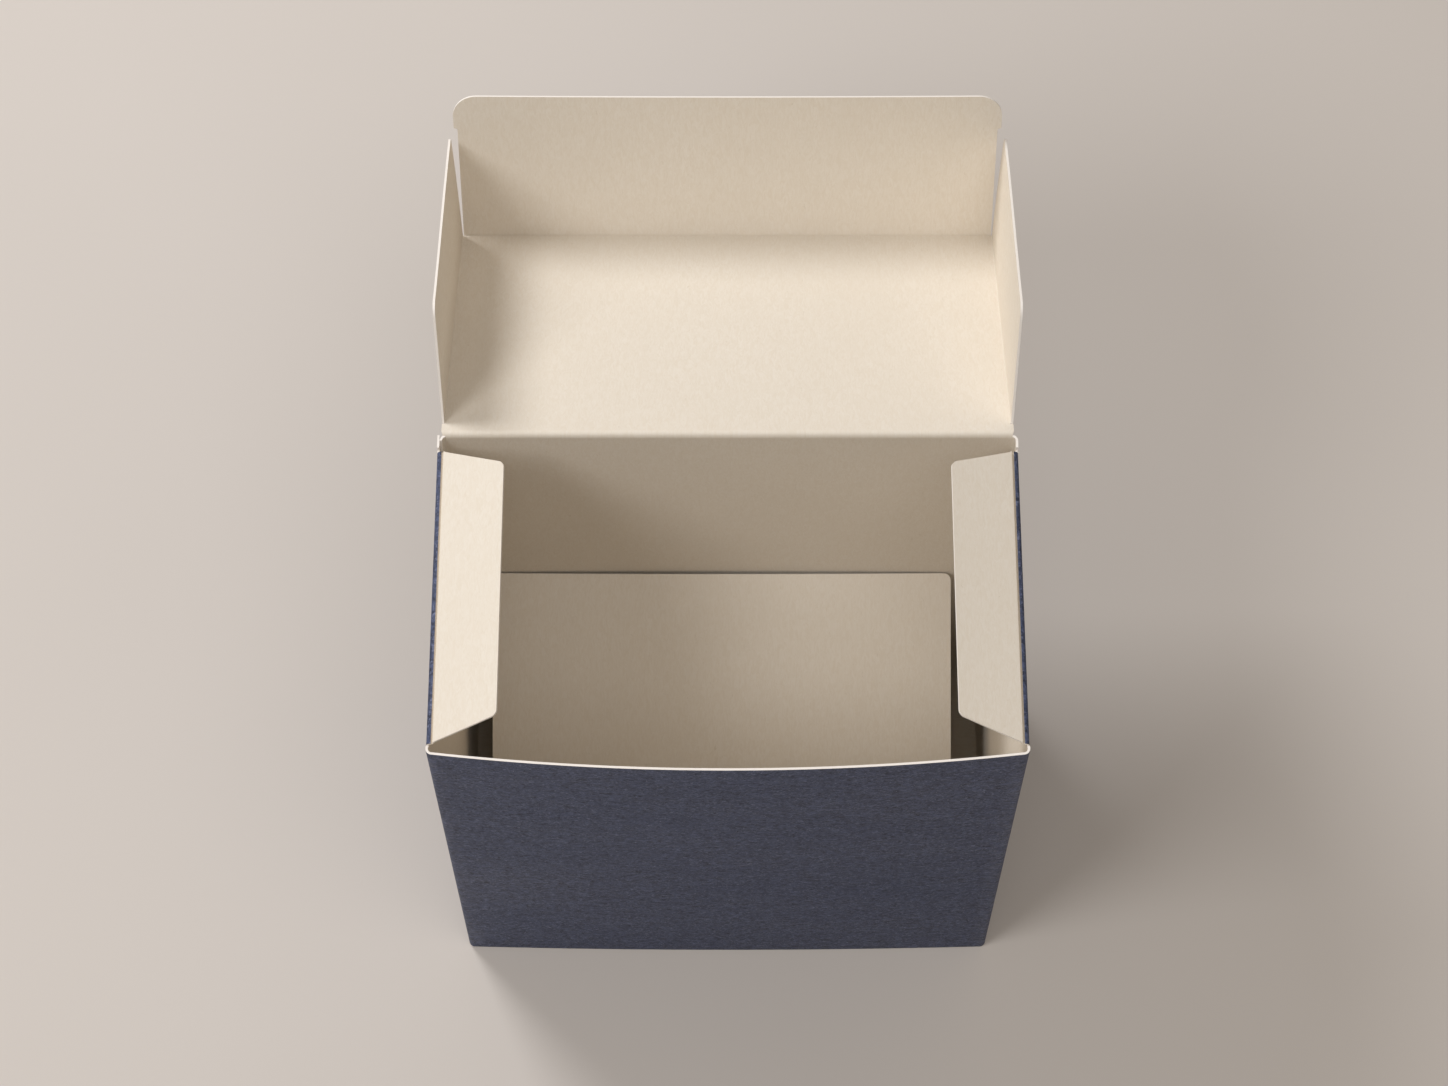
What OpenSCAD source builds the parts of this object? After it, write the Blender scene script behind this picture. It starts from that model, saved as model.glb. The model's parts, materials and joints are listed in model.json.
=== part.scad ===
// Folding carton of thin solid board with a hinged tuck lid, shown open.
// Origin: centre of the base, on the surface it stands on. +Z is up, +Y is towards the lid's hinge.

/* [Carton] */
// Width of the carton, outside the side walls
carton_w = 150; // [110:1:190]
// Depth of the carton, from the front fold to the back wall
carton_d = 88; // [66:1:120]
// Height of the front rim
carton_h = 160; // [110:1:210]
// Thickness of the board
board_t = 0.6; // [0.45:0.05:0.8]
// Outer radius of the upright folds
fold_r = 1.6; // [1.2:0.1:2.4]
// How far the front wall bows out at its rim
bow_rim = 4.2; // [0:0.2:8]
// How far the front wall bows out at its base
bow_base = 1; // [0:0.2:3]

/* [Bottom closure] */
// Height at which the bottom's inner flap leans on the back wall
inner_flap_h = 73.5; // [20:0.5:95]
// Width of the inner flap at its free edge
inner_flap_w = 129; // [90:1:134]
// How far the inner flap sits to the left of the middle
inner_flap_left = 1.6; // [0:0.1:3]
// How much wider the inner flap is at its fold
inner_flap_taper = 4.2; // [0:0.2:6]
// Radius of the inner flap's free corners
inner_flap_r = 2; // [1:0.5:8]
// Gap between the inner flap and the back wall
inner_flap_gap = 0.35; // [0.2:0.05:1]
// Width of the side walls' glue tabs on the bottom panel
base_tab_w = 22; // [10:0.5:30]
// Distance of those tabs from the front and back walls
base_tab_end = 4; // [3:0.5:10]

/* [Glued seam] */
// Width of the tab that joins the back wall to the left wall
seam_w = 12; // [8:0.5:18]
// Width of the tab's root, which is as high as the back wall
seam_root = 1.5; // [1:0.1:3]
// Distance of the tab from the base and from the top of the wall
seam_end = 5; // [3.5:0.5:12]
// Slant of the tab's ends
seam_slant = 3; // [1:0.5:6]

/* [Dust flaps] */
// Length of a dust flap, from its crease to its free edge
dust_l = 16.8; // [10:0.2:26]
// How much each end of a dust flap slants in towards the free edge
dust_taper = 5.4; // [1:0.2:8]
// Radius of the corners at the free edge
dust_r = 1.3; // [0.6:0.1:3]
// Angle of the flaps above level, as they spring up
dust_raise = 17; // [0:1:40]
// Outer radius of the rolled shoulder between the wall and the flap
shoulder_r = 1.2; // [0.9:0.1:2]
// Open groove between the shoulder and the flap
groove_w = 0.25; // [0.2:0.05:0.6]
// Drop of the shoulder below the front rim
shoulder_drop = 0.6; // [0.3:0.1:2]
// Length of side wall left standing beside the front fold
front_stand = 0.6; // [0.4:0.1:3]
// Length of side wall left standing beside the back fold
back_stand = 2; // [1:0.1:5]
// Slit between the standing wall and the shoulder
relief_slit = 0.9; // [0.5:0.1:2]

/* [Lid] */
// Angle of the open lid below level, behind the hinge
lid_droop = 25; // [0:1:60]
// Clearance of the lid's crease behind the back wall
hinge_gap = 0.1; // [0.05:0.01:0.3]
// Clearance of the closed lid's front fold inside the front wall
lid_clear = 0.5; // [0.3:0.1:1.5]
// Inset of the lid's side edges at the hinge
lid_inset = 0.7; // [0.4:0.1:2]

/* [Tuck flap] */
// Length of the tuck flap, from its crease to its free edge
tuck_l = 46; // [30:1:60]
// Radius of its free corners
tuck_r = 6.5; // [3:0.5:14]
// Fold of the flap from the lid's plane
tuck_fold = 90; // [70:1:100]
// Height above the ears at which the flap widens to its shoulders
tuck_step = 2.5; // [1.5:0.5:6]

/* [Lid ears] */
// Depth of an ear, from its crease to its free edge
ear_d = 33; // [20:1:42]
// Distance from the hinge to the start of an ear
ear_start = 3.6; // [2.5:0.1:8]
// How far the hinge end of an ear leans away from the hinge
ear_lean = 6.4; // [2:0.2:20]
// Radius of the ear's corner near the hinge
ear_r = 4; // [1:0.5:10]
// Radius of the ear's corner near the tuck flap
ear_tip_r = 1; // [0.5:0.1:3]
// Fold of the ears from the lid's plane
ear_fold = 88; // [70:1:90]
// Inset of the ears' creases from the carton's side
ear_inset = 1.3; // [1.1:0.1:3]

/* [Creases] */
// How far the rounded root of a flap stands out beyond the board's faces
crease_swell = 0.05; // [0.02:0.01:0.1]
// Clearance between the root of a flap and the panel that carries it
crease_gap = 0.05; // [0.03:0.01:0.15]
// Clearance between the side edges of neighbouring flaps
flap_gap = 0.25; // [0.15:0.05:0.6]

/* [Hidden] */

navy = [0.25, 0.26, 0.33];
cream = [0.90, 0.87, 0.82];

fold_facets = 32;
bow_steps = 20;
corner_steps = 6;
foot_steps = 3;

half_w = carton_w / 2;
half_d = carton_d / 2;
inner_half_w = half_w - board_t;
// Radius of the folds along the base
base_r = 0.8 * board_t;
crease_r = board_t / 2 + crease_swell;

// Crease of the bottom's inner flap, along the front wall's foot
inner_flap_y = -half_d + board_t + crease_gap + crease_r;
inner_flap_z = 2 * board_t + crease_gap + crease_r;

// Shoulder, groove and crease of the dust flaps
shoulder_z = carton_h - shoulder_drop;
shoulder_base_z = shoulder_z - shoulder_r;
dust_x = half_w - shoulder_r - groove_w - crease_r;
dust_z = shoulder_z + board_t / 3;
front_stand_y = -half_d + fold_r + front_stand;
back_stand_y = half_d - fold_r - back_stand;
shoulder_y0 = front_stand_y + relief_slit;
shoulder_y1 = back_stand_y - relief_slit;

// Lid hinge, just outside the top edge of the back wall
hinge_y = half_d + board_t / 2 + hinge_gap;
hinge_z = carton_h + board_t / 2;
lid_l = hinge_y + half_d - board_t - lid_clear - board_t / 2;
lid_half_w = half_w - lid_inset;
ear_x = half_w - ear_inset;
panel_half_w = ear_x - crease_r - crease_gap;
tuck_half_w = ear_x - board_t / 2 - flap_gap;
shoulder_half_w = min(lid_half_w, inner_half_w - flap_gap);
ear_end = lid_l - crease_r - crease_gap - flap_gap;

// Inset of a wall's outer face at height z, where the base fold rounds it
function foot_inset(z) = z >= base_r ? 0 : base_r - sqrt(pow(base_r, 2) - pow(base_r - z, 2));
foot_heights = [for (i = [0:foot_steps]) base_r * i / foot_steps];

// 2D section of an upright wall: inner face on x = 0, foot rounded by the base fold
module wall_section(h) {
    polygon(concat([[0, h], [0, 0]], [for (z = foot_heights) [board_t - foot_inset(z), z]], [[board_t, h]]));
}

// Straight wall along +Y, with its outer face towards +X on x = 0
module straight_wall(length, h) {
    translate([-board_t, length, 0]) rotate([90, 0, 0]) linear_extrude(length) wall_section(h);
}

// Upright rounded fold round its own axis, covering the quarter from +X to +Y
module upright_fold(h) {
    rotate_extrude(angle = 90, $fn = 4 * fold_facets) translate([fold_r - board_t, 0]) wall_section(h);
}

// Closed solid through a stack of strips that have the same number of points.
// Each strip runs along one face of the board and comes back along the other.
module skin(strips) {
    n = len(strips[0]);
    last = len(strips) - 1;
    sides = [for (k = [0:last - 1], i = [0:n - 1])
        let(a = k * n + i, b = a + n, c = (k + 1) * n + (i + 1) % n, d = c - n)
        each [[a, b, c], [a, c, d]]];
    caps = [for (i = [0:n / 2 - 2])
        let(a = i, b = i + 1, c = n - 2 - i, d = n - 1 - i, up = last * n)
        each [[a, b, c], [a, c, d], [up + c, up + b, up + a], [up + d, up + c, up + a]]];
    polyhedron([for (strip = strips) each strip], concat(sides, caps));
}

function bow_at(z) = bow_base + (bow_rim - bow_base) * z / carton_h;
function bow_line(x, z) = -half_d - bow_at(z) * (1 - pow(x / (half_w - fold_r), 2));

// Front wall's face at height z, moved inwards by the distance off, from the left wall to the right wall
function front_face(z, off) = concat(
    [[-half_w + off, front_stand_y, z]],
    [for (i = [0:corner_steps]) let(a = 180 + 90 * i / corner_steps)
        [-half_w + fold_r + (fold_r - off) * cos(a), -half_d + fold_r + (fold_r - off) * sin(a), z]],
    [for (i = [1:bow_steps - 1]) let(x = (half_w - fold_r) * (2 * i / bow_steps - 1))
        [x, bow_line(x, z) + off, z]],
    [for (i = [0:corner_steps]) let(a = 270 + 90 * i / corner_steps)
        [half_w - fold_r + (fold_r - off) * cos(a), -half_d + fold_r + (fold_r - off) * sin(a), z]],
    [[half_w - off, front_stand_y, z]]);
function reversed(list) = [for (i = [len(list) - 1:-1:0]) list[i]];
function front_outline(z) = concat(front_face(z, foot_inset(z)), reversed(front_face(z, board_t)));

// Bowed front wall with its two rounded folds, straight from the base fold to the rim
module front_wall() {
    skin([for (z = concat(foot_heights, [carton_h])) front_outline(z)]);
}

// Side wall on the right, with its standing corners and the rolled shoulder that carries the dust flap
module side_wall(back_y) {
    y0 = front_stand_y - front_stand / 2;
    translate([half_w, y0, 0]) straight_wall(back_y - y0, shoulder_base_z);
    translate([half_w, back_stand_y, 0]) straight_wall(back_y - back_stand_y, carton_h);
    translate([half_w - shoulder_r, shoulder_y1, shoulder_base_z]) rotate([90, 0, 0])
        shoulder_roll(shoulder_y1 - shoulder_y0);
}

// Quarter roll of board along +Z, with a straight root that lies in the wall below it
module shoulder_roll(length) {
    linear_extrude(length) intersection() {
        difference() {
            shoulder_face(shoulder_r);
            shoulder_face(shoulder_r - board_t);
        }
        translate([0, -board_t]) square([shoulder_r, board_t + shoulder_r]);
    }
}

// One face of the roll at radius r, down to the foot of its root
module shoulder_face(r) {
    circle(r = r, $fn = 2 * fold_facets);
    translate([0, -2 * board_t]) square([r, 2 * board_t]);
}

module back_wall() {
    span = carton_w - 2 * fold_r;
    translate([half_w - fold_r, half_d, 0]) rotate([0, 0, 90]) straight_wall(span, carton_h);
    translate([half_w - fold_r, half_d - fold_r, 0]) upright_fold(carton_h);
    // On the left the back wall turns inside the left wall, whose cut edge shows
    translate([-half_w + fold_r + board_t, half_d, 0]) rotate([0, 0, 90]) straight_wall(board_t, carton_h);
    translate([-half_w + fold_r + board_t, half_d - fold_r, 0]) rotate([0, 0, 90]) upright_fold(carton_h);
    mirror([1, 0, 0]) translate([inner_half_w, half_d - fold_r - seam_root, 0])
        straight_wall(seam_root, carton_h);
}

// Tab on the back wall, glued to the inside of the left wall
module seam_tab() {
    y1 = half_d - fold_r - seam_root;
    y0 = half_d - fold_r - seam_w;
    z1 = shoulder_base_z - seam_end;
    translate([-inner_half_w + board_t, 0, 0]) rotate([90, 0, -90])
        linear_extrude(board_t) polygon([
            [-y1, seam_end], [-y0, seam_end + seam_slant], [-y0, z1 - seam_slant], [-y1, z1]]);
}

// Bottom panel, folded in from the back wall, with the side tabs glued on it
module bottom_panel() {
    linear_extrude(board_t) polygon(concat(
        [for (i = [0:bow_steps]) let(x = (half_w - fold_r) * (2 * i / bow_steps - 1))
            [x, bow_line(x, 0) + 0.9 * board_t]],
        [[half_w - 0.9 * board_t, -half_d + fold_r], [half_w - 0.9 * board_t, half_d - fold_r],
            [half_w - fold_r, half_d - 0.9 * board_t], [-half_w + fold_r, half_d - 0.9 * board_t],
            [-half_w + 0.9 * board_t, half_d - fold_r], [-half_w + 0.9 * board_t, -half_d + fold_r]]));
    for (side = [0, 1]) mirror([side, 0, 0]) base_tab();
}

module base_tab() {
    y0 = -half_d + base_tab_end;
    y1 = half_d - base_tab_end;
    translate([0, 0, board_t]) linear_extrude(board_t) polygon([
        [inner_half_w, y0], [inner_half_w, y1],
        [inner_half_w - base_tab_w, y1 - base_tab_w / 3], [inner_half_w - base_tab_w, y0 + base_tab_w / 3]]);
}

// Upright plate outline from y0 to y1, with two rounded top corners
module round_top(w, y0, y1, r) {
    translate([-w / 2, y0]) square([w, y1 - r - y0]);
    translate([-w / 2 + r, y0]) square([w - 2 * r, y1 - y0]);
    for (side = [-1, 1]) translate([side * (w / 2 - r), y1 - r]) circle(r = r, $fn = fold_facets);
}

module body() {
    color(navy) {
        front_wall();
        side_wall(half_d - fold_r);
        mirror([1, 0, 0]) side_wall(half_d - board_t / 6);
        back_wall();
        seam_tab();
        bottom_panel();
    }
}

// Rounded root of a flap along +X, on the crease's axis
module crease_bead(length) {
    rotate([0, 90, 0]) cylinder(h = length, r = crease_r, center = true, $fn = fold_facets);
}

// Flat piece of board on both sides of z = 0
module board() {
    translate([0, 0, -board_t / 2]) linear_extrude(board_t) children();
}

// Point on the arc that rounds a corner, for the rounded outlines below
function arc(c, r, a0, a1) = [for (i = [0:corner_steps]) let(a = a0 + (a1 - a0) * i / corner_steps)
    [c[0] + r * cos(a), c[1] + r * sin(a)]];

// Inner flap of the bottom, folded in from the front wall. It springs up and leans on the back wall.
module inner_flap() {
    run = half_d - board_t - inner_flap_gap - inner_flap_y;
    rise = inner_flap_h - board_t / 2 - inner_flap_z;
    raise = atan(rise / run);
    reach = sqrt(pow(run, 2) + pow(rise, 2)) - board_t / 2 * tan(raise);
    end_x = inner_flap_w / 2;
    root_x = end_x + inner_flap_taper / 2;
    slant = atan((root_x - end_x) / reach);
    // Where the rounded corners' arcs meet the slanted edges
    corner = inner_flap_r * (1 - sin(slant)) / cos(slant);
    color(cream) translate([-inner_flap_left, inner_flap_y, inner_flap_z]) rotate([raise, 0, 0]) {
        crease_bead(2 * root_x);
        board() polygon(concat(
            [[root_x, 0], [-root_x, 0]],
            arc([-end_x + corner, reach - inner_flap_r], inner_flap_r, 180 - slant, 90),
            arc([end_x - corner, reach - inner_flap_r], inner_flap_r, 90, slant)));
    }
}

// Dust flap of the left wall, with its crease along Y on x = 0
module dust_flap() {
    y0 = shoulder_y0 + flap_gap;
    y1 = shoulder_y1 - flap_gap;
    slant = atan(dust_taper / dust_l);
    // Where the rounded corners' arcs meet the slanted ends
    reach = dust_r * (1 - sin(slant)) / cos(slant);
    translate([dust_x * -1, 0, dust_z]) rotate([0, -dust_raise, 0]) {
        translate([0, (y0 + y1) / 2, 0]) rotate([0, 0, 90]) crease_bead(y1 - y0);
        board() polygon(concat(
            [[0, y0]],
            arc([dust_l - dust_r, y0 + dust_taper + reach], dust_r, -90 + slant, 0),
            arc([dust_l - dust_r, y1 - dust_taper - reach], dust_r, 0, 90 - slant),
            [[0, y1]]));
    }
}

module dust_flap_left() {
    color(cream) dust_flap();
}

module dust_flap_right() {
    color(cream) mirror([1, 0, 0]) dust_flap();
}

// Places what it holds in the lid's frame: +Y along the lid, +Z on its inner side
module on_lid() {
    translate([0, hinge_y, hinge_z]) rotate([-lid_droop, 0, 0]) children();
}

module lid_panel() {
    far = lid_l - crease_r - crease_gap;
    near = ear_start - flap_gap;
    color(navy) on_lid() {
        crease_bead(2 * lid_half_w);
        board() {
            translate([-panel_half_w, 0]) square([2 * panel_half_w, far]);
            translate([-lid_half_w, 0]) square([2 * lid_half_w, near]);
        }
    }
}

module tuck_flap() {
    step_y = ear_d + tuck_step;
    color(navy) on_lid() translate([0, lid_l, 0]) rotate([tuck_fold, 0, 0]) {
        crease_bead(2 * tuck_half_w);
        board() {
            translate([-tuck_half_w, 0]) square([2 * tuck_half_w, step_y + board_t]);
            round_top(2 * shoulder_half_w, step_y, tuck_l, tuck_r);
        }
    }
}

// Ear on the lid's right edge
module ear() {
    lean = atan(ear_lean / ear_d);
    reach = ear_r * (1 - sin(lean)) / cos(lean);
    on_lid() translate([ear_x, 0, 0]) rotate([0, -ear_fold, 0]) {
        translate([0, (ear_start + ear_end) / 2, 0]) rotate([0, 0, 90]) crease_bead(ear_end - ear_start);
        board() polygon(concat(
            [[0, ear_start]],
            arc([ear_d - ear_r, ear_start + ear_lean + reach], ear_r, -90 + lean, 0),
            arc([ear_d - ear_tip_r, ear_end - ear_tip_r], ear_tip_r, 0, 90),
            [[0, ear_end]]));
    }
}

module ear_left() {
    color(navy) mirror([1, 0, 0]) ear();
}

module ear_right() {
    color(navy) ear();
}

body();
inner_flap();
dust_flap_left();
dust_flap_right();
lid_panel();
tuck_flap();
ear_left();
ear_right();
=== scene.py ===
"""Looks of a tuck-lid folding carton of thin board.

The board is printed navy outside and is bare cream inside, with pale cut edges. Every panel is a closed
sheet with a printed face, an inner face and a cut edge. Panels that turn on a crease are joined to their
neighbour by a crease strip that bends between the two bodies.
"""

import json
import math

import bmesh
import bpy
from mathutils import Vector
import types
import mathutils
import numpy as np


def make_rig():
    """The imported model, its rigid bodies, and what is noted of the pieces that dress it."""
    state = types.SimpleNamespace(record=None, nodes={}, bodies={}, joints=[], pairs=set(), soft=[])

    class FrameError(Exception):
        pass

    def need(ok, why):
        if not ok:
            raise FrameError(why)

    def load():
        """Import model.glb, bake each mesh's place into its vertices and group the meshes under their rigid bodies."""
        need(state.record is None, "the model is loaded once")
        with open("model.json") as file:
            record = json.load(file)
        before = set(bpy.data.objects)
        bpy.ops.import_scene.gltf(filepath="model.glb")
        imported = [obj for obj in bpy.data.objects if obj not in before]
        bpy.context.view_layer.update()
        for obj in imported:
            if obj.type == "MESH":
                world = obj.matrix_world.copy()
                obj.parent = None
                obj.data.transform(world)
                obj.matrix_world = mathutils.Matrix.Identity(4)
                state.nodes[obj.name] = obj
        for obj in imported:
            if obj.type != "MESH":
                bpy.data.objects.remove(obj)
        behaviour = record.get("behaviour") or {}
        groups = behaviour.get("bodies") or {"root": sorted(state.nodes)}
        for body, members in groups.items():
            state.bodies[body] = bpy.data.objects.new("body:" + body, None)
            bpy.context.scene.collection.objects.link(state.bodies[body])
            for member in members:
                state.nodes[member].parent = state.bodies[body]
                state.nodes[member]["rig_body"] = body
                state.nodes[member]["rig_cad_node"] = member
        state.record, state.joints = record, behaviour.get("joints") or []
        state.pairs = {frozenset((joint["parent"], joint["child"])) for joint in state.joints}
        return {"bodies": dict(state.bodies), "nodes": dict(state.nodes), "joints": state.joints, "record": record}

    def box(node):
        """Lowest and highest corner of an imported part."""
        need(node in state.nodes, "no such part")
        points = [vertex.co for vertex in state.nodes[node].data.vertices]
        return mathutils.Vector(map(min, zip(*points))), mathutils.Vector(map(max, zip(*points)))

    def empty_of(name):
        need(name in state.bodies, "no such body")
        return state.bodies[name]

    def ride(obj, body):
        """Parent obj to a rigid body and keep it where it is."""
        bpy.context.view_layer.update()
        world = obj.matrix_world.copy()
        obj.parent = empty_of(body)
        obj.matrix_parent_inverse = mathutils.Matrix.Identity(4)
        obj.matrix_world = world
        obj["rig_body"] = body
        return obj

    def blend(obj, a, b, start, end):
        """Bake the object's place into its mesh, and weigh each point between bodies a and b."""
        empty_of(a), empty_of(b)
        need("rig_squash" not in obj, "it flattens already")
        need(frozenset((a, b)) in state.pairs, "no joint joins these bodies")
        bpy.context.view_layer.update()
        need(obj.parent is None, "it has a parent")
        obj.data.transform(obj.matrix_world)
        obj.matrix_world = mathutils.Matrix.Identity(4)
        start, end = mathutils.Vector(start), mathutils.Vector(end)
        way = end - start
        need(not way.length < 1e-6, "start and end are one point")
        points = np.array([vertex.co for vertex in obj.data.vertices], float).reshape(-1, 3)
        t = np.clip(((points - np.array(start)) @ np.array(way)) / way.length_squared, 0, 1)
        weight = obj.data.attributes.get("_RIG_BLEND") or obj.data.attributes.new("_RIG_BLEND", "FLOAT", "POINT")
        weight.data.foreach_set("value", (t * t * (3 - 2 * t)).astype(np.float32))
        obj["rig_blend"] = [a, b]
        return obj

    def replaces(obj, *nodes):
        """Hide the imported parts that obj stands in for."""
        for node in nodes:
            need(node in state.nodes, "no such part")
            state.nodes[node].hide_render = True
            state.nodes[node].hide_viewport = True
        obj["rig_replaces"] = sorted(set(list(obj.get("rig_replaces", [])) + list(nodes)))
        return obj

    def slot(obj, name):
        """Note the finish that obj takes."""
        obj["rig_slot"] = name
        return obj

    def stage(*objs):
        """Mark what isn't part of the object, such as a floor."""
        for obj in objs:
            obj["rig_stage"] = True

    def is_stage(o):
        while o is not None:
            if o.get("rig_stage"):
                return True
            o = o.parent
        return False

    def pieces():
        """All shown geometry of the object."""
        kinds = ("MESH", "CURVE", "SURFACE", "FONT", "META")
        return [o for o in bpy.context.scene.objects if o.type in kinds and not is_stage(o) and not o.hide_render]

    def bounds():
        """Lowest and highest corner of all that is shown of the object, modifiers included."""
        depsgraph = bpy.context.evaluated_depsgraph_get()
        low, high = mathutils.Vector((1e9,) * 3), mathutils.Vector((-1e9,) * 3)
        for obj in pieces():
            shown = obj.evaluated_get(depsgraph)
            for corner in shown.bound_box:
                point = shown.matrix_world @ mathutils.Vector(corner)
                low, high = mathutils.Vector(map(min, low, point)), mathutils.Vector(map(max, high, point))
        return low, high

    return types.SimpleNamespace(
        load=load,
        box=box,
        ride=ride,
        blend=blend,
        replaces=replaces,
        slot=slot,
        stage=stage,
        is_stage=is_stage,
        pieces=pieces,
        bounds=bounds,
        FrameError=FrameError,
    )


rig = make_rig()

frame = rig.load()
cad_low, cad_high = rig.bounds()
joints = {joint["name"]: joint for joint in frame["joints"]}

# Sizes are in metres

# Board, and the outside of the carton
MM = 0.001
BOARD = 0.6 * MM
HALF = BOARD / 2
BODY_LOW, BODY_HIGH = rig.box("body")
HALF_W = BODY_HIGH.x
HALF_D = BODY_HIGH.y
HEIGHT = BODY_HIGH.z
INNER_HALF_W = HALF_W - BOARD

# Upright folds, the front wall's bow at its rim and base, and the roll along the foot of the walls
FOLD_R = 1.6 * MM
BOW_RIM = -HALF_D - BODY_LOW.y
BOW_BASE = 1.0 * MM
FOOT_R = 0.6 * MM

# Rolled shoulders of the side walls, a slit away from the wall left standing beside the front and back folds
SHOULDER_R = 1.2 * MM
SHOULDER_DROP = 0.6 * MM
SHOULDER_TOP = HEIGHT - SHOULDER_DROP
SHOULDER_BASE = SHOULDER_TOP - SHOULDER_R
SHOULDER_END_X = HALF_W - SHOULDER_R
FRONT_STAND = 0.6 * MM
BACK_STAND = 2.0 * MM
FRONT_STAND_Y = -HALF_D + FOLD_R + FRONT_STAND
BACK_STAND_Y = HALF_D - FOLD_R - BACK_STAND
RELIEF_SLIT = 0.9 * MM
SHOULDER_FRONT = FRONT_STAND_Y + RELIEF_SLIT
SHOULDER_BACK = BACK_STAND_Y - RELIEF_SLIT

# Glued seam: its tab, and how far the left wall's cut edge stays back from the back wall's face
GLUE = 0.03 * MM
CUT_SETBACK = 0.1 * MM
SEAM_ROOT = 1.5 * MM
SEAM_W = 12.0 * MM
SEAM_END = 5.0 * MM
SEAM_SLANT = 3.0 * MM

# Bottom panel: its gap at the side walls, how far it laps into the front wall, and the gap that keeps two
# faces out of one plane
BOTTOM_SIDE_GAP = 0.1 * MM
BOTTOM_LAP = 0.02 * MM
FACE_GAP = 0.01 * MM

# Base tabs. The fold is given by how far in from the wall, and how high, its upper face lies.
BASE_TAB_W = 22.0 * MM
BASE_TAB_END = 4.0 * MM
BASE_TAB_FOLD = [(0.0, 1.8 * MM), (0.06 * MM, 1.5 * MM), (0.25 * MM, 1.3 * MM)]
BASE_TAB_FOLD_END = 0.55 * MM

# Inner flap. START is where its board begins, out from the axis of its crease. The heights are those of its
# crease strip's under and upper face, at the front wall and halfway to the flap.
INNER_FLAP_TOP = 73.2 * MM
INNER_FLAP_GAP = 0.35 * MM
INNER_FLAP_HALF_W = 64.5 * MM
INNER_FLAP_LEFT = 1.6 * MM
INNER_FLAP_TAPER = 2.1 * MM
INNER_FLAP_R = 2.0 * MM
INNER_FLAP_BOW = 0.9 * MM
INNER_FLAP_START = 0.6 * MM
INNER_FLAP_WALL_ZS = 1.3 * MM, 2.4 * MM
INNER_FLAP_MIDDLE_ZS = 1.25 * MM, 1.9 * MM

# Dust flaps
FLAP_GAP = 0.25 * MM
DUST_L = 16.8 * MM
DUST_TAPER = 5.4 * MM
DUST_R = 1.3 * MM
DUST_RAISE = math.radians(17)
DUST_CURL = 0.35 * MM
DUST_START = 0.35 * MM

# Groove between a rolled shoulder and its dust flap, as pairs for the crease strip's under and upper face:
# depth of its floor below the shoulder, and the floor's start and end, in from the shoulder's end
GROOVE_DROPS = 1.3 * BOARD, 0.5 * MM
GROOVE_STARTS = 0.05 * MM, 0.1 * MM
GROOVE_ENDS = 0.45 * MM, 0.42 * MM
# Last bend of the strip, before and below its end on the flap
GROOVE_LIP = 0.3 * MM
GROOVE_LIP_DROP = 0.1 * MM

# Tuck flap, which widens at its step
TUCK_L = 46.0 * MM
TUCK_R = 6.5 * MM
TUCK_STEP = 35.5 * MM
TUCK_STEP_RUN = 0.35 * MM
TUCK_HALF_W = 73.15 * MM
TUCK_SHOULDER_HALF_W = 74.15 * MM
TUCK_CURL = 0.5 * MM

# Ears and lid. TRIM is how far the board of the lid's short ends stops inside its half width.
EAR_D = 33.0 * MM
EAR_START = 3.6 * MM
EAR_LEAN = 6.4 * MM
EAR_R = 4.0 * MM
EAR_TIP_R = 1.0 * MM
EAR_TIP_GAP = 0.65 * MM
EAR_FOLD = math.radians(88)
EAR_CURL = 0.5 * MM
LID_HALF_W = 74.3 * MM
LID_TRIM = 0.3 * MM
LID_END_HALF_W = LID_HALF_W - LID_TRIM

# Radius of a crease along the middle of the board
HINGE_BEND = 0.9 * MM
TUCK_BEND = 0.55 * MM
EAR_BEND = 0.5 * MM
# How far the inner face bulges into the tuck flap's crease, as a share of its inner radius
SCORE_BEAD = 0.9

# Wear: how far a rubbed band reaches from a fold, the foot and the rim, and how strong it is on the upright
# folds, the rim and the tuck flap's free edge
RUB_REACH = 1.5 * MM
FOOT_RUB_REACH = 1.6 * MM
RIM_RUB_REACH = 1.4 * MM
FOLD_RUB = 0.8
RIM_RUB = 0.9
FREE_EDGE_RUB = 0.7

# Places and directions of the creases, from the joints
ACROSS = Vector((1, 0, 0))
HINGE = Vector(joints["lid_hinge"]["pos_m"])
TUCK_HINGE = Vector(joints["tuck_hinge"]["pos_m"])
EAR_X = joints["right_ear_hinge"]["pos_m"][0]
DUST_X, _, DUST_Z = joints["right_dust_hinge"]["pos_m"]
LID_ALONG = Vector(joints["left_ear_hinge"]["axis"]).normalized()
LID_UP = ACROSS.cross(LID_ALONG)
LID_L = (TUCK_HINGE - HINGE).length
EAR_END = LID_L - EAR_TIP_GAP
INNER_FLAP_FOOT = Vector(joints["inner_flap_hinge"]["pos_m"])

# Lengths closer than SAME count as equal, points closer than WELD become one, and an edge whose faces turn
# more than SHARP stays crisp
SAME = 1e-7
WELD = 1e-6
SHARP = math.radians(40)


def smooth(t):
    """0 before t = 0, 1 after t = 1, and a soft step between."""
    t = min(1.0, max(0.0, t))
    return t * t * (3 - 2 * t)


def spread(start, end, count):
    """count + 1 values from start to end."""
    return [start + (end - start) * i / count for i in range(count + 1)]


def near(distance, reach):
    """1 on an edge or fold, and 0 from reach away."""
    return 1 - smooth(abs(distance) / reach)


def corner_rows(length, radius, steps):
    """Distances along a panel that follow the rounded corners at its free edge."""
    return [length - radius + radius * math.sin(math.pi / 2 * i / steps) for i in range(steps + 1)]


def corner_inset(d, length, radius):
    """How far a rounded corner has pulled the side of a panel in at distance d along it."""
    past = max(0.0, d - (length - radius))
    return radius - math.sqrt(max(0.0, radius**2 - past**2))


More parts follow.
